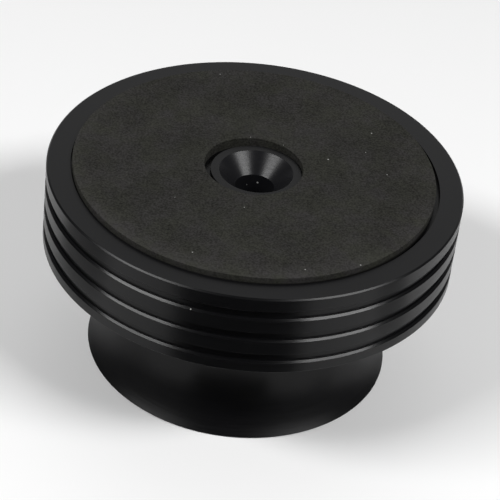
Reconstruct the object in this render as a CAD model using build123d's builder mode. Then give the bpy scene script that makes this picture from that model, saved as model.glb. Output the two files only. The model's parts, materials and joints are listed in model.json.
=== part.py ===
from build123d import *
from math import isclose, radians, tan
import os

os.makedirs("parts", exist_ok=True)

# A record weight: a solid aluminium turning with a foam ring set into its record side.
# Lengths are in millimetres. Z is the axis that it was turned about. It stands on the flat
# end of its grip at z = 0, with the record side up.

# Disc: three square grooves part its rim into four plain lands, listed from the record side down
DISC_DIAMETER = 80.0
UPPER_LAND = 3.1
MIDDLE_LAND = 3.45
LOWER_LAND = 2.6
GROOVE_COUNT = 3
GROOVE_WIDTH = 1.4
GROOVE_DEPTH = 0.7

# Grip: one hollow arc from the end that it stands on, round its waist, to the disc's underside
GRIP_LENGTH = 24.7
GRIP_END_DIAMETER = 60.0
GRIP_WAIST_DIAMETER = 48.5
GRIP_WAIST_HEIGHT = 14.5
GRIP_NECK_DIAMETER = 54.0

# Bevels that break the outer edges of the disc and the grip's end, and the lips of the grooves
EDGE_BEVEL = 0.3
LIP_BEVEL = 0.4

# Blind hole for the turntable's spindle, with a countersunk mouth in a flat-faced boss
SPINDLE_HOLE_DIAMETER = 7.5
SPINDLE_HOLE_DEPTH = 26.0
DRILL_POINT_ANGLE = 118.0
COUNTERSINK_DIAMETER = 14.3
COUNTERSINK_ANGLE = 90.0
BOSS_FACE_WIDTH = 1.6

# Foam pad, and the ring-shaped recess that it is glued into a little off centre. Its hole is cut
# off the pad's own centre too, by the same amount in X and in Y
PAD_DIAMETER = 70.0
PAD_THICKNESS = 2.0
PAD_EDGE_RADIUS = 0.1
PAD_RIM_CLEARANCE = 0.4
PAD_BOSS_CLEARANCE = 0.75
PAD_OFF_CENTRE = 0.3
PAD_HOLE_OFF_CENTRE = 0.3
RECESS_DEPTH = 1.0

# Heights
GROOVE_STEP = GROOVE_WIDTH + MIDDLE_LAND
DISC_THICKNESS = UPPER_LAND + GROOVE_COUNT * GROOVE_STEP - MIDDLE_LAND + LOWER_LAND
RIM_FACE_Z = GRIP_LENGTH + DISC_THICKNESS
RECESS_FLOOR_Z = RIM_FACE_Z - RECESS_DEPTH

# Radii
DISC_RADIUS = DISC_DIAMETER / 2
GROOVE_ROOT = DISC_RADIUS - GROOVE_DEPTH
GRIP_END_RADIUS = GRIP_END_DIAMETER / 2
RECESS_RADIUS = PAD_DIAMETER / 2 + PAD_RIM_CLEARANCE
COUNTERSINK_RADIUS = COUNTERSINK_DIAMETER / 2
BOSS_RADIUS = COUNTERSINK_RADIUS + BOSS_FACE_WIDTH
PAD_HOLE_RADIUS = BOSS_RADIUS + PAD_BOSS_CLEARANCE
HOLE_RADIUS = SPINDLE_HOLE_DIAMETER / 2

# Depths below the rim face of the cones in the spindle hole
COUNTERSINK_DEPTH = (COUNTERSINK_RADIUS - HOLE_RADIUS) / tan(radians(COUNTERSINK_ANGLE / 2))
DRILL_TIP_DEPTH = SPINDLE_HOLE_DEPTH + HOLE_RADIUS / tan(radians(DRILL_POINT_ANGLE / 2))


def rim_outline():
    """Sharp corners of the grooved rim as (radius, z), from the disc's underside up to its rim face."""
    corners = [(DISC_RADIUS, GRIP_LENGTH)]
    for groove in range(GROOVE_COUNT):
        lower_wall_z = GRIP_LENGTH + LOWER_LAND + groove * GROOVE_STEP
        upper_wall_z = lower_wall_z + GROOVE_WIDTH
        corners += [(DISC_RADIUS, lower_wall_z), (GROOVE_ROOT, lower_wall_z)]
        corners += [(GROOVE_ROOT, upper_wall_z), (DISC_RADIUS, upper_wall_z)]
    corners.append((DISC_RADIUS, RIM_FACE_Z))
    return corners


def on_rim(corner):
    return isclose(corner.X, DISC_RADIUS)


# Half section of the turning, revolved
with BuildPart() as weight_body:
    with BuildSketch(Plane.XZ) as section:
        with BuildLine():
            grip_end = Polyline(
                (0, 0),
                (GRIP_END_RADIUS - EDGE_BEVEL, 0),
                (GRIP_END_RADIUS, EDGE_BEVEL),
            )
            waist = ThreePointArc(
                grip_end @ 1,
                (GRIP_WAIST_DIAMETER / 2, GRIP_WAIST_HEIGHT),
                (GRIP_NECK_DIAMETER / 2, GRIP_LENGTH),
            )
            rim = Polyline(waist @ 1, *rim_outline())
            record_side = Polyline(
                rim @ 1,
                (RECESS_RADIUS, RIM_FACE_Z),
                (RECESS_RADIUS, RECESS_FLOOR_Z),
                (BOSS_RADIUS, RECESS_FLOOR_Z),
                (BOSS_RADIUS, RIM_FACE_Z),
                (COUNTERSINK_RADIUS, RIM_FACE_Z),
            )
            Polyline(
                record_side @ 1,
                (HOLE_RADIUS, RIM_FACE_Z - COUNTERSINK_DEPTH),
                (HOLE_RADIUS, RIM_FACE_Z - SPINDLE_HOLE_DEPTH),
                (0, RIM_FACE_Z - DRILL_TIP_DEPTH),
                grip_end @ 0,
            )
        make_face()
        lips = section.vertices().filter_by(on_rim).sort_by(Axis.Y)[1:-1]
        chamfer(lips, LIP_BEVEL)
        bevelled_rim = section.vertices().filter_by(on_rim).sort_by(Axis.Y)
        chamfer([bevelled_rim[0], bevelled_rim[-1]], EDGE_BEVEL)
    revolve(axis=Axis.Z)

weight_body.part.label = "weight_body"
export_step(weight_body.part, "parts/weight_body.step")

# Ring of foam on the recess's floor, its upper edges rounded by the cutting die
with BuildPart() as foam_pad:
    with BuildSketch(Plane((-PAD_OFF_CENTRE, 0, RECESS_FLOOR_Z))):
        Circle(PAD_DIAMETER / 2)
        with Locations((-PAD_HOLE_OFF_CENTRE, PAD_HOLE_OFF_CENTRE)):
            Circle(PAD_HOLE_RADIUS, mode=Mode.SUBTRACT)
    extrude(amount=PAD_THICKNESS)
    upper_face = foam_pad.faces().sort_by(Axis.Z)[-1]
    fillet(upper_face.edges(), PAD_EDGE_RADIUS)

foam_pad.part.label = "foam_pad"
export_step(foam_pad.part, "parts/foam_pad.step")
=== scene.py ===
import json
import math

import bmesh
import bpy
from mathutils import Matrix, Vector, noise


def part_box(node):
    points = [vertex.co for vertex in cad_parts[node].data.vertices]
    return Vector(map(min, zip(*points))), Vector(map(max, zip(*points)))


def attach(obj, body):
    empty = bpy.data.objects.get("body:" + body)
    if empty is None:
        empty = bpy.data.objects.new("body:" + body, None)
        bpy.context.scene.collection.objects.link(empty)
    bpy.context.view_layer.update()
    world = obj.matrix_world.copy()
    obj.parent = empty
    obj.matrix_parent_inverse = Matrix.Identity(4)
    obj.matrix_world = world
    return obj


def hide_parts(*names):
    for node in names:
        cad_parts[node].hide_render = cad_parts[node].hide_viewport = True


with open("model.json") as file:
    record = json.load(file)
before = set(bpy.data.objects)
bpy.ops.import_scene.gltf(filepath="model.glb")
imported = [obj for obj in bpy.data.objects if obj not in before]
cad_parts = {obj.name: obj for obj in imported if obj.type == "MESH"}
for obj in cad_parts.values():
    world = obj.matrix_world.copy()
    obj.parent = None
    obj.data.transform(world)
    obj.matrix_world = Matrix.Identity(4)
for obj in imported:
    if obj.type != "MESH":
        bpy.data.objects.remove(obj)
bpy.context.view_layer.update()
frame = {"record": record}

MM = 0.001

# The turned weight: its overall sizes and its hole come from the frame, the rest are its own
BODY_LOW, BODY_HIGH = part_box("weight_body")
SPINDLE_HOLE = {mount["name"]: mount for mount in frame["record"]["mounts"]}["spindle_hole"]
DISC_RADIUS = BODY_HIGH.x
RIM_FACE_Z = BODY_HIGH.z
UPPER_LAND = 3.1 * MM
MIDDLE_LAND = 3.45 * MM
GROOVE_COUNT = 3
GROOVE_WIDTH = 1.4 * MM
GROOVE_DEPTH = 0.7 * MM
GRIP_LENGTH = 24.7 * MM
GRIP_END_RADIUS = 30.0 * MM
GRIP_WAIST_RADIUS = 24.25 * MM
GRIP_WAIST_Z = 14.5 * MM
GRIP_NECK_RADIUS = 27.0 * MM
EDGE_BEVEL = 0.3 * MM
LIP_BEVEL = 0.4 * MM
COUNTERSINK_RADIUS = 7.15 * MM
BOSS_RADIUS = 8.75 * MM
RECESS_RADIUS = 35.4 * MM
RECESS_DEPTH = 1.0 * MM
HOLE_RADIUS = SPINDLE_HOLE["dims"]["r_mm"] * MM
HOLE_HALF_LENGTH = SPINDLE_HOLE["dims"]["length_mm"] * MM / 2
HOLE_MIDDLE_Z = SPINDLE_HOLE["pos_m"][2]
DRILL_POINT_ANGLE = math.radians(118)

# Worked out from those
GROOVE_STEP = GROOVE_WIDTH + MIDDLE_LAND
GROOVE_ROOT = DISC_RADIUS - GROOVE_DEPTH
RECESS_FLOOR_Z = RIM_FACE_Z - RECESS_DEPTH
HOLE_TOP_Z = HOLE_MIDDLE_Z + HOLE_HALF_LENGTH
HOLE_BOTTOM_Z = HOLE_MIDDLE_Z - HOLE_HALF_LENGTH
DRILL_TIP_Z = HOLE_BOTTOM_Z - HOLE_RADIUS / math.tan(DRILL_POINT_ANGLE / 2)

# How finely the pieces are drawn, and how far their sharp edges are broken
TURNING_STEPS = 320
WAIST_STEPS = 24
EDGE_BREAK = 0.02 * MM
EDGE_SUPPORT = 0.04 * MM
SHARPEST_SMOOTH_TURN = math.radians(14)
SEAM_GAP = 0.001 * MM

# The foam ring, where its solid lies, a little narrow across and with its hole off its own centre
PAD_LOW, PAD_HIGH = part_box("foam_pad")
PAD_CENTRE = (PAD_LOW + PAD_HIGH) / 2
PAD_RADIUS = (PAD_HIGH.x - PAD_LOW.x) / 2
PAD_HOLE_RADIUS = 9.5 * MM
PAD_HOLE_SHIFT = Vector((-0.3 * MM, 0.3 * MM, 0))
PAD_NARROWING = 0.15 * MM
PAD_EDGE_RADIUS = 0.1 * MM
PAD_EDGE_STEPS = 6
PAD_RINGS = 40
PAD_WAVE = 0.05 * MM
PAD_WAVES_PER_METRE = 160

# The camera of the photograph, which is 500 pixels square
PICTURE_WIDTH = 500
FOCAL_PIXELS = 2060.65
SENSOR_WIDTH = 36.0
CAMERA_DISTANCE = 394.16 * MM
CAMERA_ELEVATION = math.radians(33.940)
CAMERA_YAW = math.radians(0.091)
CAMERA_PITCH = math.radians(-2.195)
CAMERA_ROLL = math.radians(6.948)
CAMERA_CLIP_START = 10 * MM

# Noise patterns: levels that count as none and full, and how detailed they are
NOISE_LOW = 0.3
NOISE_HIGH = 0.7
NOISE_DETAIL = 2
GRAIN_ROUGHNESS = 0.6

# Black anodised finish
BODY_COLOUR = (0.0030, 0.0030, 0.0034)
BODY_SHEEN = (0.0046, 0.0046, 0.0052)
# Painted light: the hole and countersink are painted a lighter colour that stands in for light they reflect
HOLE_PAINTED_LIGHT_COLOUR = (0.0080, 0.0080, 0.0092)
BODY_SPECULAR = 0.2
BODY_ROUGHNESS = 0.3
BODY_ROUGHNESS_SPREAD = 0.025
LIP_ROUGHNESS = 0.2
TURNING_LINE_SIZE = 0.22 * MM
TURNING_LINE_TURNS = 4
TURNING_LINE_DEPTH = 0.0004 * MM
SATIN_GRAIN_SIZE = 0.16 * MM

# Foam of the pad: each share is how much of the way from dark to pale that pattern can go
PAD_DARK_COLOUR = (0.0106, 0.0104, 0.0089)
PAD_PALE_COLOUR = (0.0408, 0.0390, 0.0385)
PAD_OLIVE_COLOUR = (0.0382, 0.0387, 0.0318)
PAD_FOOT_COLOUR = (0.0060, 0.0060, 0.0055)
PAD_FOOT_LOW_Z = RIM_FACE_Z - 0.45 * MM
PAD_FOOT_HIGH_Z = RIM_FACE_Z - 0.05 * MM
PAD_ROUGHNESS = 0.95
PAD_SPECULAR = 0.1
PAD_TINT_SIZE = 5.0 * MM
PAD_BLOTCH_SIZE = 9.0 * MM
PAD_BLOTCH_SHARE = 0.2
PAD_MOTTLE_SIZE = 1.3 * MM
PAD_MOTTLE_SHARE = 0.2
PAD_CELL_SIZE = 0.42 * MM
PAD_CELL_SHARE = 0.6
PAD_CELL_DEPTH = 0.03 * MM
# Painted sheen: the foam is painted paler along its outer edge, most on one side
PAD_EDGE_SHEEN_WIDTH = 4.5 * MM
PAD_EDGE_SHEEN_SHARE = 0.3
PAD_SHEEN_SIDE = Vector((-0.25, -0.97, 0))

# Dust, and two painted glints: places and radii of the specks in millimetres, those of the pad on its face
DUST_AND_GLINT_COLOUR = (0.34, 0.34, 0.33)
DUST_AND_GLINT_CORE = 0.5
BODY_DUST_AND_GLINTS = [
    (-8.6, -38.9, 36.75, 0.17), (-4.9, -39.7, 38.4, 0.10), (-2.6, -34.9, 41.8, 0.14),
    # The last two are painted glints on the far wall of the hole, not dust
    (0.5, 3.7, 36.4, 0.24), (-1.5, 3.4, 35.8, 0.10),
]
PAD_DUST = [
    (13.5, 5.6, 0.20), (20.7, -27.4, 0.18), (21.7, 16.8, 0.17), (-9.6, -29.7, 0.15),
    (10.8, -30.8, 0.14), (25.0, 2.8, 0.14), (20.7, 9.6, 0.11), (-1.4, -13.8, 0.12),
    (-9.7, 32.0, 0.13), (-1.9, 10.1, 0.11), (-14.4, -13.3, 0.10), (4.6, 8.7, 0.10),
]

# Softboxes, one on each side: angles are in degrees, and azimuth 0 is the camera's side
SOFTBOX_AZIMUTH = 62
SOFTBOX_ELEVATION = 47
SOFTBOX_LEAN = 25
SOFTBOX_DISTANCE = 1.0
SOFTBOX_WIDTH = 0.52
SOFTBOX_HEIGHT = 0.185
LEFT_RADIANCE = 18.5
RIGHT_RADIANCE = 21.0

# Walls of the room: how bright they are, and where one gives way to the next
SIDE_WALL_LEVEL = 0.1
BACK_WALL_LEVEL = 0.64
BACK_WALL_EDGE = 0.5
DARK_SIDE_LEVEL = 0.02
DARK_SIDE_INNER = math.radians(30)
DARK_SIDE_OUTER = math.radians(42)

# Floor, and dark cards on it that only reflections show: they put painted shade into the weight's
# reflections. Each card is a slice round a point on the Y axis:
# name, Y of that point, near and far end, azimuth of its middle, half its angle in degrees, shade
FLOOR_SHADE = 0.955
FLOOR_HALF_WIDTH = 3.0
MATT = 0.9
CARD_LIFT = 0.2 * MM
REFLECTION_SHADE_CARDS = [
    ("front_shade_card", -18 * MM, 40 * MM, 702 * MM, 0, 34, 0.002),
    ("left_shade_card", 0, 70 * MM, 400 * MM, -78, 16, 0.3),
    ("right_shade_card", 0, 70 * MM, 400 * MM, 70, 8, 0.3),
]

# Sockets of a colour Mix node
MIX_FACTOR, MIX_FIRST, MIX_SECOND, MIX_RESULT = 0, 6, 7, 2


def new_object(name, data):
    thing = bpy.data.objects.new(name, data)
    bpy.context.scene.collection.objects.link(thing)
    return thing


# Half sections, as lists of points with the radius in x and the height in y

def arc_through(start, middle, end, steps):
    """Points from start to end on the circle through three points."""
    (ax, ay), (bx, by), (cx, cy) = start, middle, end
    span = 2 * (ax * (by - cy) + bx * (cy - ay) + cx * (ay - by))
    a2, b2, c2 = ax * ax + ay * ay, bx * bx + by * by, cx * cx + cy * cy
    middle_x = (a2 * (by - cy) + b2 * (cy - ay) + c2 * (ay - by)) / span
    middle_y = (a2 * (cx - bx) + b2 * (ax - cx) + c2 * (bx - ax)) / span
    radius = math.hypot(ax - middle_x, ay - middle_y)
    first = math.atan2(ay - middle_y, ax - middle_x)
    sweep = math.remainder(math.atan2(cy - middle_y, cx - middle_x) - first, math.tau)
    turns = [first + sweep * step / steps for step in range(steps + 1)]
    return [Vector((middle_x + radius * math.cos(t), middle_y + radius * math.sin(t))) for t in turns]


def rim_outline():
    """The grooved rim with sharp corners, from the disc's underside up to its rim face."""
    corners = [(DISC_RADIUS, RIM_FACE_Z)]
    for groove in range(GROOVE_COUNT):
        upper_wall = RIM_FACE_Z - UPPER_LAND - groove * GROOVE_STEP
        lower_wall = upper_wall - GROOVE_WIDTH
        corners += [(DISC_RADIUS, upper_wall), (GROOVE_ROOT, upper_wall)]
        corners += [(GROOVE_ROOT, lower_wall), (DISC_RADIUS, lower_wall)]
    corners.append((DISC_RADIUS, GRIP_LENGTH))
    return corners[::-1]


def weight_section():
    """Half section of the weight, from the middle of the grip's end round to the tip of the drilled hole."""
    grip_end = (GRIP_END_RADIUS, EDGE_BEVEL)
    waist, neck = (GRIP_WAIST_RADIUS, GRIP_WAIST_Z), (GRIP_NECK_RADIUS, GRIP_LENGTH)
    points = [(0, 0), (GRIP_END_RADIUS - EDGE_BEVEL, 0)]
    points += arc_through(grip_end, waist, neck, WAIST_STEPS)
    points += rim_outline()
    points += [(RECESS_RADIUS, RIM_FACE_Z), (RECESS_RADIUS, RECESS_FLOOR_Z)]
    points += [(BOSS_RADIUS, RECESS_FLOOR_Z), (BOSS_RADIUS, RIM_FACE_Z), (COUNTERSINK_RADIUS, RIM_FACE_Z)]
    points += [(HOLE_RADIUS, HOLE_TOP_Z), (HOLE_RADIUS, HOLE_BOTTOM_Z), (0, DRILL_TIP_Z)]
    return [Vector(point) for point in points]


def towards(start, end, distance):
    return start + (end - start).normalized() * distance


def with_bevels(points):
    """The same section with the outer corners of the rim bevelled, the lips of the grooves more."""
    bevelled = points[:1]
    for before, corner, after in zip(points, points[1:], points[2:]):
        if corner.x < DISC_RADIUS - SEAM_GAP:
            bevelled.append(corner)
            continue
        on_lip = SEAM_GAP < corner.y - GRIP_LENGTH and SEAM_GAP < RIM_FACE_Z - corner.y
        bevel = LIP_BEVEL if on_lip else EDGE_BEVEL
        bevelled += [towards(corner, before, bevel), towards(corner, after, bevel)]
    return bevelled + points[-1:]


def with_broken_edges(points):
    """The same section with sharp corners cut off a little, and a point either side to keep faces flat."""
    broken = points[:1]
    for before, corner, after in zip(points, points[1:], points[2:]):
        if (corner - before).angle(after - corner) < SHARPEST_SMOOTH_TURN:
            broken.append(corner)
            continue
        broken += [towards(corner, before, EDGE_SUPPORT), towards(corner, before, EDGE_BREAK)]
        broken += [towards(corner, after, EDGE_BREAK), towards(corner, after, EDGE_SUPPORT)]
    return broken + points[-1:]


def pad_section():
    """Closed section of the foam ring, with the upper edges rounded by the cutting die."""
    top, bottom, soft = PAD_HIGH.z, PAD_LOW.z, PAD_EDGE_RADIUS
    inner, outer = PAD_HOLE_RADIUS, PAD_RADIUS
    slack = soft - soft * math.cos(math.pi / 4)
    outer_edge = [(outer, top - soft), (outer - slack, top - slack), (outer - soft, top)]
    inner_edge = [(inner + soft, top), (inner + slack, top - slack), (inner, top - soft)]
    points = [(inner, bottom + EDGE_SUPPORT), (inner, bottom), (inner + EDGE_SUPPORT, bottom)]
    points += [(outer - EDGE_SUPPORT, bottom), (outer, bottom), (outer, bottom + EDGE_SUPPORT)]
    points += arc_through(*outer_edge, PAD_EDGE_STEPS)
    for ring in range(1, PAD_RINGS):
        points.append(Vector(outer_edge[-1]).lerp(Vector(inner_edge[0]), ring / PAD_RINGS))
    points += arc_through(*inner_edge, PAD_EDGE_STEPS)
    return [Vector(point) for point in points + points[:1]]


# Node helpers

def add_node(tree, kind, inputs=None, **settings):
    """Adds a node, and sets or links its inputs by socket name or number."""
    node = tree.nodes.new(kind)
    for name, value in settings.items():
        setattr(node, name, value)
    for socket, value in (inputs or {}).items():
        if isinstance(value, bpy.types.NodeSocket):
            tree.links.new(value, node.inputs[socket])
        else:
            node.inputs[socket].default_value = value
    return node


def math_node(tree, operation, *values):
    return add_node(tree, "ShaderNodeMath", dict(enumerate(values)), operation=operation).outputs[0]


def vector_node(tree, operation, first, second):
    """A number made from two vectors."""
    return add_node(tree, "ShaderNodeVectorMath", {0: first, 1: second}, operation=operation).outputs["Value"]


def blend(tree, value, low, high, at_low=0, at_high=1):
    """Goes smoothly from at_low to at_high as value goes from low to high."""
    return add_node(tree, "ShaderNodeMapRange", {
        "Value": value, "From Min": low, "From Max": high, "To Min": at_low, "To Max": at_high},
        interpolation_type="SMOOTHSTEP").outputs[0]


def socket_or_colour(value):
    """A socket as it is, or a plain colour with its alpha added."""
    return value if isinstance(value, bpy.types.NodeSocket) else (*value, 1)


def mix_colours(tree, factor, first, second):
    mixer = add_node(tree, "ShaderNodeMix", {
        MIX_FACTOR: factor, MIX_FIRST: socket_or_colour(first), MIX_SECOND: socket_or_colour(second)},
        data_type="RGBA")
    return mixer.outputs[MIX_RESULT]


# Turning: a node tree that takes a section round the Z axis

def turning_tree():
    """Turns a half section, a line of points in X and Z, about the Z axis."""
    tree = bpy.data.node_groups.new("turned_from_section", "GeometryNodeTree")
    tree.interface.new_socket("Section", in_out="INPUT", socket_type="NodeSocketGeometry")
    tree.interface.new_socket("Steps Round", in_out="INPUT", socket_type="NodeSocketInt")
    tree.interface.new_socket("Finish", in_out="INPUT", socket_type="NodeSocketMaterial")
    tree.interface.new_socket("Turned", in_out="OUTPUT", socket_type="NodeSocketGeometry")
    given = tree.nodes.new("NodeGroupInput").outputs
    counted = add_node(tree, "GeometryNodeAttributeDomainSize", {"Geometry": given["Section"]})
    rows = counted.outputs["Point Count"]
    last_row = math_node(tree, "SUBTRACT", rows, 1)
    columns = math_node(tree, "ADD", given["Steps Round"], 1)
    sheet = add_node(tree, "GeometryNodeMeshGrid", {
        "Size X": last_row, "Size Y": math.tau, "Vertices X": rows, "Vertices Y": columns})
    place = add_node(tree, "GeometryNodeInputPosition").outputs[0]
    flat = add_node(tree, "ShaderNodeSeparateXYZ", {0: place}).outputs
    row = math_node(tree, "ROUND", math_node(tree, "ADD", flat["X"], math_node(tree, "DIVIDE", last_row, 2)))
    angle = math_node(tree, "ADD", flat["Y"], math.pi)
    drawn = add_node(tree, "GeometryNodeSampleIndex", {
        "Geometry": given["Section"], "Value": place, "Index": row}, data_type="FLOAT_VECTOR").outputs[0]
    section = add_node(tree, "ShaderNodeSeparateXYZ", {0: drawn}).outputs
    turned = add_node(tree, "ShaderNodeCombineXYZ", {
        "X": math_node(tree, "MULTIPLY", section["X"], math_node(tree, "COSINE", angle)),
        "Y": math_node(tree, "MULTIPLY", section["X"], math_node(tree, "SINE", angle)),
        "Z": section["Z"]}).outputs[0]
    shaped = add_node(tree, "GeometryNodeSetPosition", {
        "Geometry": sheet.outputs["Mesh"], "Position": turned})
    closed = add_node(tree, "GeometryNodeMergeByDistance", {
        "Geometry": shaped.outputs[0], "Distance": SEAM_GAP})
    smooth = add_node(tree, "GeometryNodeSetShadeSmooth", {"Geometry": closed.outputs[0]})
    whole = add_node(tree, "GeometryNodeRealizeInstances", {"Geometry": smooth.outputs[0]})
    dressed = add_node(tree, "GeometryNodeSetMaterial", {
        "Geometry": whole.outputs[0], "Material": given["Finish"]})
    add_node(tree, "NodeGroupOutput", {"Turned": dressed.outputs[0]})
    return tree


def turned_piece(name, section, tree, finish):
    """A plain mesh object, made by taking a section round the Z axis."""
    line = bpy.data.meshes.new(name + "_section")
    edges = [(k, k + 1) for k in range(len(section) - 1)]
    line.from_pydata([(point.x, 0, point.y) for point in section], edges, [])
    drawing = new_object(name + "_section", line)
    turning = drawing.modifiers.new("turning", "NODES")
    turning.node_group = tree
    wanted = {"Steps Round": TURNING_STEPS, "Finish": finish}
    for socket in tree.interface.items_tree:
        if socket.name in wanted:
            turning[socket.identifier] = wanted[socket.name]
    shape = drawing.evaluated_get(bpy.context.evaluated_depsgraph_get())
    mesh = bpy.data.meshes.new_from_object(shape)
    drawing.modifiers.remove(turning)
    bpy.data.objects.remove(drawing)
    bpy.data.meshes.remove(line)
    face_outwards(mesh)
    return new_object(name, mesh)


def face_outwards(mesh):
    """Closes the seam and the poles, and turns every face outwards."""
    shape = bmesh.new()
    shape.from_mesh(mesh)
    bmesh.ops.remove_doubles(shape, verts=shape.verts, dist=SEAM_GAP)
    bmesh.ops.recalc_face_normals(shape, faces=shape.faces)
    shape.to_mesh(mesh)
    shape.free()


# Effects that both finishes use

def fine_grain_group():
    """Random grain of a chosen size, from 0 to 1."""
    tree = bpy.data.node_groups.new("fine_grain", "ShaderNodeTree")
    tree.interface.new_socket("Place", in_out="INPUT", socket_type="NodeSocketVector")
    tree.interface.new_socket("Size", in_out="INPUT", socket_type="NodeSocketFloat")
    tree.interface.new_socket("Grain", in_out="OUTPUT", socket_type="NodeSocketFloat")
    given = tree.nodes.new("NodeGroupInput").outputs
    texture = add_node(tree, "ShaderNodeTexNoise", {
        "Vector": given["Place"], "Scale": math_node(tree, "DIVIDE", 1, given["Size"]),
        "Detail": NOISE_DETAIL, "Roughness": GRAIN_ROUGHNESS})
    add_node(tree, "NodeGroupOutput", {"Grain": blend(tree, texture.outputs[0], NOISE_LOW, NOISE_HIGH)})
    return tree


def dust_and_glint_speck_group():
    """One speck, for dust and for painted glints: 1 on the speck and 0 off it."""
    tree = bpy.data.node_groups.new("dust_and_glint_speck", "ShaderNodeTree")
    tree.interface.new_socket("Place", in_out="INPUT", socket_type="NodeSocketVector")
    tree.interface.new_socket("Centre", in_out="INPUT", socket_type="NodeSocketVector")
    tree.interface.new_socket("Radius", in_out="INPUT", socket_type="NodeSocketFloat")
    tree.interface.new_socket("Speck", in_out="OUTPUT", socket_type="NodeSocketFloat")
    given = tree.nodes.new("NodeGroupInput").outputs
    away = vector_node(tree, "DISTANCE", given["Place"], given["Centre"])
    core = math_node(tree, "MULTIPLY", given["Radius"], DUST_AND_GLINT_CORE)
    add_node(tree, "NodeGroupOutput", {"Speck": blend(tree, away, core, given["Radius"], 1, 0)})
    return tree


def group_node(tree, group, inputs):
    return add_node(tree, "ShaderNodeGroup", inputs, node_tree=group).outputs[0]


# On the body this also paints two glints in the hole
def dust(tree, group, place, specks):
    """All the specks of one piece together."""
    total = 0
    for x, y, z, radius in specks:
        centre = (x * MM, y * MM, z * MM)
        speck = group_node(tree, group, {"Place": place, "Centre": centre, "Radius": radius * MM})
        total = math_node(tree, "MAXIMUM", total, speck)
    return total


# Finishes

def new_material(name, colour, roughness, specular):
    material = bpy.data.materials.new(name)
    material.use_nodes = True
    shader = material.node_tree.nodes["Principled BSDF"]
    shader.inputs["Base Color"].default_value = (*colour, 1)
    shader.inputs["Roughness"].default_value = roughness
    shader.inputs["Specular IOR Level"].default_value = specular
    return material


def object_place(tree):
    """The place on the object, and its X, Y and Z."""
    place = add_node(tree, "ShaderNodeTexCoord").outputs["Object"]
    return place, add_node(tree, "ShaderNodeSeparateXYZ", {0: place}).outputs


def turning_lines(tree, part, radius):
    """Fine uneven lines that run round the axis, as the lathe's tool leaves them."""
    round_x, round_y = [math_node(tree, "DIVIDE", part[axis], radius) for axis in ("X", "Y")]
    place = add_node(tree, "ShaderNodeCombineXYZ", {
        "X": math_node(tree, "MULTIPLY", round_x, TURNING_LINE_TURNS),
        "Y": math_node(tree, "MULTIPLY", round_y, TURNING_LINE_TURNS),
        "Z": math_node(tree, "DIVIDE", radius, TURNING_LINE_SIZE)}).outputs[0]
    height = math_node(tree, "DIVIDE", part["Z"], TURNING_LINE_SIZE)
    texture = add_node(tree, "ShaderNodeTexNoise", {
        "Vector": place, "W": height, "Scale": 1, "Detail": NOISE_DETAIL}, noise_dimensions="4D")
    return texture.outputs[0]


def groove_lips(tree, part, radius):
    """1 on the bevels of the grooves and of the disc's lower edge, 0 elsewhere."""
    inside = DISC_RADIUS - LIP_BEVEL
    inner = blend(tree, radius, inside - EDGE_BREAK, inside + EDGE_BREAK)
    outer = blend(tree, radius, DISC_RADIUS - EDGE_BREAK, DISC_RADIUS - EDGE_BREAK / 2, 1, 0)
    land_foot = RIM_FACE_Z - UPPER_LAND
    below = blend(tree, part["Z"], land_foot, land_foot + EDGE_SUPPORT, 1, 0)
    return math_node(tree, "MULTIPLY", math_node(tree, "MULTIPLY", inner, outer), below)


def hole_painted_light_mask(tree, part, radius):
    """1 in the spindle hole and its countersink, 0 elsewhere; there the colour is painted lighter, standing
    in for light the hole reflects.
    """
    above = blend(tree, part["Z"], DRILL_TIP_Z - EDGE_SUPPORT, DRILL_TIP_Z)
    within = blend(tree, radius, COUNTERSINK_RADIUS - EDGE_SUPPORT, COUNTERSINK_RADIUS, 1, 0)
    return math_node(tree, "MULTIPLY", above, within)


def black_anodised(grain_group, speck_group):
    """Satin black with fine lines from the lathe's tool, smoother lips, painted light in the hole and
    countersink, a little dust and two painted glints in the hole.
    """
    material = new_material("black_anodised", BODY_COLOUR, BODY_ROUGHNESS, BODY_SPECULAR)
    tree = material.node_tree
    shader = tree.nodes["Principled BSDF"].inputs
    place, part = object_place(tree)
    squares = [math_node(tree, "POWER", part[axis], 2) for axis in ("X", "Y")]
    radius = math_node(tree, "SQRT", math_node(tree, "ADD", *squares))
    lines = turning_lines(tree, part, radius)
    smoothest, roughest = BODY_ROUGHNESS - BODY_ROUGHNESS_SPREAD, BODY_ROUGHNESS + BODY_ROUGHNESS_SPREAD
    rough = blend(tree, lines, NOISE_LOW, NOISE_HIGH, smoothest, roughest)
    lips = groove_lips(tree, part, radius)
    rough = math_node(tree, "MULTIPLY_ADD", lips, LIP_ROUGHNESS - BODY_ROUGHNESS, rough)
    tree.links.new(rough, shader["Roughness"])
    satin = group_node(tree, grain_group, {"Place": place, "Size": SATIN_GRAIN_SIZE})
    sheen = math_node(tree, "MULTIPLY", blend(tree, lines, NOISE_LOW, NOISE_HIGH), satin)
    colour = mix_colours(tree, sheen, BODY_COLOUR, BODY_SHEEN)
    # Painted light: the hole and countersink get the lighter colour
    colour = mix_colours(tree, hole_painted_light_mask(tree, part, radius), colour, HOLE_PAINTED_LIGHT_COLOUR)
    # Dust specks, and two painted glints in the hole
    colour = mix_colours(tree, dust(tree, speck_group, place, BODY_DUST_AND_GLINTS), colour, DUST_AND_GLINT_COLOUR)
    tree.links.new(colour, shader["Base Color"])
    bump = add_node(tree, "ShaderNodeBump", {"Height": lines, "Strength": 1, "Distance": TURNING_LINE_DEPTH})
    tree.links.new(bump.outputs[0], shader["Normal"])
    return material


def dark_foot(tree, part, from_middle):
    """1 at the foot of the ring's outer wall, down in the recess, and 0 elsewhere."""
    at_foot = blend(tree, part["Z"], PAD_FOOT_LOW_Z, PAD_FOOT_HIGH_Z, 1, 0)
    return math_node(tree, "MULTIPLY", at_foot, blend(tree, from_middle, PAD_HOLE_RADIUS, PAD_RADIUS))


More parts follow.
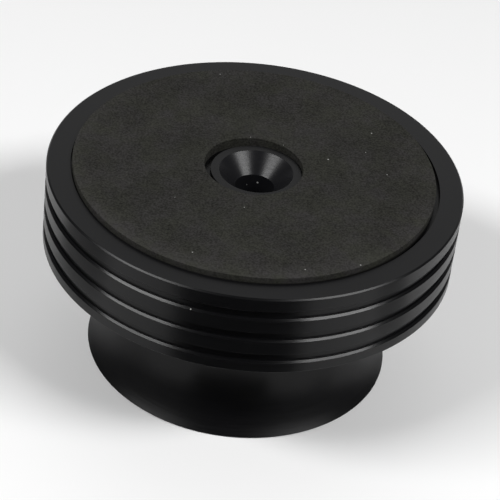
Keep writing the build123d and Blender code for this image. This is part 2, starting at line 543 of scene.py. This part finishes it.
def painted_edge_sheen(tree, flat, from_middle):
    """Painted sheen: how much paler the foam is painted along its outer edge, most of all on one side."""
    near_edge = blend(tree, from_middle, PAD_RADIUS - PAD_EDGE_SHEEN_WIDTH, PAD_RADIUS)
    towards_side = vector_node(tree, "DOT_PRODUCT", flat, PAD_SHEEN_SIDE)
    paler = blend(tree, towards_side, -PAD_RADIUS, PAD_RADIUS, 0, PAD_EDGE_SHEEN_SHARE)
    return math_node(tree, "MULTIPLY", near_edge, paler)


def pad_foam(grain_group, speck_group):
    """Fine-celled foam, unevenly tinted and dusty, with a painted sheen along one side's edge, and dark at
    its foot.
    """
    material = new_material("pad_foam", PAD_PALE_COLOUR, PAD_ROUGHNESS, PAD_SPECULAR)
    tree = material.node_tree
    shader = tree.nodes["Principled BSDF"].inputs
    place, part = object_place(tree)
    tint, blotch, mottle, cells = [
        group_node(tree, grain_group, {"Place": place, "Size": size})
        for size in (PAD_TINT_SIZE, PAD_BLOTCH_SIZE, PAD_MOTTLE_SIZE, PAD_CELL_SIZE)]
    flat = add_node(tree, "ShaderNodeCombineXYZ", {"X": part["X"], "Y": part["Y"]}).outputs[0]
    from_middle = vector_node(tree, "DISTANCE", flat, (PAD_CENTRE.x, PAD_CENTRE.y, 0))
    # Painted sheen along the outer edge
    shade = painted_edge_sheen(tree, flat, from_middle)
    shade = math_node(tree, "MULTIPLY_ADD", blotch, PAD_BLOTCH_SHARE, shade)
    shade = math_node(tree, "MULTIPLY_ADD", mottle, PAD_MOTTLE_SHARE, shade)
    shade = math_node(tree, "MULTIPLY_ADD", cells, PAD_CELL_SHARE, shade)
    pale = mix_colours(tree, tint, PAD_PALE_COLOUR, PAD_OLIVE_COLOUR)
    colour = mix_colours(tree, shade, PAD_DARK_COLOUR, pale)
    colour = mix_colours(tree, dark_foot(tree, part, from_middle), colour, PAD_FOOT_COLOUR)
    specks = dust(tree, speck_group, place, [(x, y, PAD_HIGH.z / MM, radius) for x, y, radius in PAD_DUST])
    tree.links.new(mix_colours(tree, specks, colour, DUST_AND_GLINT_COLOUR), shader["Base Color"])
    bump = add_node(tree, "ShaderNodeBump", {"Height": cells, "Strength": 1, "Distance": PAD_CELL_DEPTH})
    tree.links.new(bump.outputs[0], shader["Normal"])
    return material


# Pieces

def weight_body(tree, finish):
    body = turned_piece("turned_weight", with_broken_edges(with_bevels(weight_section())), tree, finish)
    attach(body, "root")
    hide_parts("weight_body")


def foam_pad(tree, finish):
    """The foam ring, uneven and a little narrow across as die-cut foam is, and off centre like its solid."""
    pad = turned_piece("foam_ring", pad_section(), tree, finish)
    for vertex in pad.data.vertices:
        wave = noise.noise(vertex.co * PAD_WAVES_PER_METRE)
        to_hole = (PAD_RADIUS - vertex.co.xy.length) / (PAD_RADIUS - PAD_HOLE_RADIUS)
        if vertex.co.z > PAD_LOW.z + PAD_EDGE_RADIUS:
            vertex.co.z -= PAD_WAVE * (1 + wave) / 2
        vertex.co.x -= PAD_NARROWING * vertex.co.x / PAD_RADIUS
        vertex.co += PAD_HOLE_SHIFT * to_hole
        vertex.co.x += PAD_CENTRE.x
    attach(pad, "root")
    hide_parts("foam_pad")


# Studio

def photo_camera():
    """The camera that took the photograph: it looks down on the record side and leans to one side."""
    back = Vector((0, -math.cos(CAMERA_ELEVATION), math.sin(CAMERA_ELEVATION)))
    right = Vector((1, 0, 0))
    up = back.cross(right)
    backward = (back - right * math.tan(CAMERA_YAW) - up * math.tan(CAMERA_PITCH)).normalized()
    level = (right - backward * right.dot(backward)).normalized()
    upright = backward.cross(level)
    across = level * math.cos(CAMERA_ROLL) + upright * math.sin(CAMERA_ROLL)
    tall = upright * math.cos(CAMERA_ROLL) - level * math.sin(CAMERA_ROLL)
    turn = Matrix((across, tall, backward)).transposed().to_4x4()
    lens = bpy.data.cameras.new("photo_camera")
    lens.sensor_width = SENSOR_WIDTH
    lens.lens = SENSOR_WIDTH * FOCAL_PIXELS / PICTURE_WIDTH
    lens.clip_start = CAMERA_CLIP_START
    camera = new_object("photo_camera", lens)
    camera.matrix_world = Matrix.Translation(Vector((0, 0, RIM_FACE_Z)) + back * CAMERA_DISTANCE) @ turn
    bpy.context.scene.camera = camera


def softbox(name, azimuth, radiance):
    """A soft lamp that faces the weight from above, with its outer end lower."""
    around, above = math.radians(azimuth), math.radians(SOFTBOX_ELEVATION)
    way = Vector((math.sin(around) * math.cos(above), -math.cos(around) * math.cos(above), math.sin(above)))
    lamp = bpy.data.lights.new(name, "AREA")
    lamp.shape = "RECTANGLE"
    lamp.size = SOFTBOX_WIDTH
    lamp.size_y = SOFTBOX_HEIGHT
    lamp.energy = radiance * math.pi * SOFTBOX_WIDTH * SOFTBOX_HEIGHT
    aim = way.to_track_quat("Z", "Y").to_matrix().to_4x4()
    lean = Matrix.Rotation(-math.copysign(math.radians(SOFTBOX_LEAN), azimuth), 4, "Z")
    new_object(name, lamp).matrix_world = Matrix.Translation(way * SOFTBOX_DISTANCE) @ aim @ lean


def studio_walls():
    """Dim walls at the sides, a paler one behind, and a dark room behind the camera."""
    world = bpy.data.worlds.new("studio")
    world.use_nodes = True
    tree = world.node_tree
    way = add_node(tree, "ShaderNodeTexCoord").outputs["Generated"]
    part = add_node(tree, "ShaderNodeSeparateXYZ", {0: way}).outputs
    level = math_node(tree, "SQRT", math_node(tree, "SUBTRACT", 1, math_node(tree, "POWER", part["Z"], 2)))
    back = math_node(tree, "DIVIDE", part["Y"], level)
    dark_edge, lit_edge = -math.cos(DARK_SIDE_INNER), -math.cos(DARK_SIDE_OUTER)
    lit = blend(tree, back, dark_edge, lit_edge, DARK_SIDE_LEVEL, SIDE_WALL_LEVEL)
    paler = blend(tree, back, BACK_WALL_EDGE, 1, 0, BACK_WALL_LEVEL - SIDE_WALL_LEVEL)
    background = tree.nodes["Background"].inputs
    background["Color"].default_value = (1, 1, 1, 1)
    tree.links.new(math_node(tree, "ADD", lit, paler), background["Strength"])
    bpy.context.scene.world = world


def flat_sheet(name, corners, shade):
    """A matt grey four-cornered sheet that is part of the stage."""
    mesh = bpy.data.meshes.new(name)
    mesh.from_pydata(corners, [], [tuple(range(len(corners)))])
    sheet = new_object(name, mesh)
    sheet.data.materials.append(new_material(name, (shade, shade, shade), roughness=MATT, specular=0))
    return sheet


def pale_floor():
    half = FLOOR_HALF_WIDTH
    corners = [(-half, -half, 0), (half, -half, 0), (half, half, 0), (-half, half, 0)]
    flat_sheet("pale_floor", corners, FLOOR_SHADE)


def reflection_shade_card(name, point_y, near, far, azimuth, half_angle, shade):
    """A dark card on the floor, which only reflections show: painted shade in the reflections."""
    first, last = math.radians(azimuth - half_angle), math.radians(azimuth + half_angle)
    corners = []
    for out, around in ((near, first), (far, first), (far, last), (near, last)):
        corners.append((out * math.sin(around), point_y - out * math.cos(around), CARD_LIFT))
    card = flat_sheet(name, corners, shade)
    card.visible_camera = False
    card.visible_diffuse = False
    card.visible_transmission = False
    card.visible_shadow = False


bpy.context.scene.view_settings.view_transform = "Standard"
studio_walls()
softbox("softbox_left", -SOFTBOX_AZIMUTH, LEFT_RADIANCE)
softbox("softbox_right", SOFTBOX_AZIMUTH, RIGHT_RADIANCE)
pale_floor()
# Cards that put painted shade into the reflections
for card in REFLECTION_SHADE_CARDS:
    reflection_shade_card(*card)
photo_camera()
turning = turning_tree()
fine_grain = fine_grain_group()
dust_and_glint_speck = dust_and_glint_speck_group()
weight_body(turning, black_anodised(fine_grain, dust_and_glint_speck))
foam_pad(turning, pad_foam(fine_grain, dust_and_glint_speck))
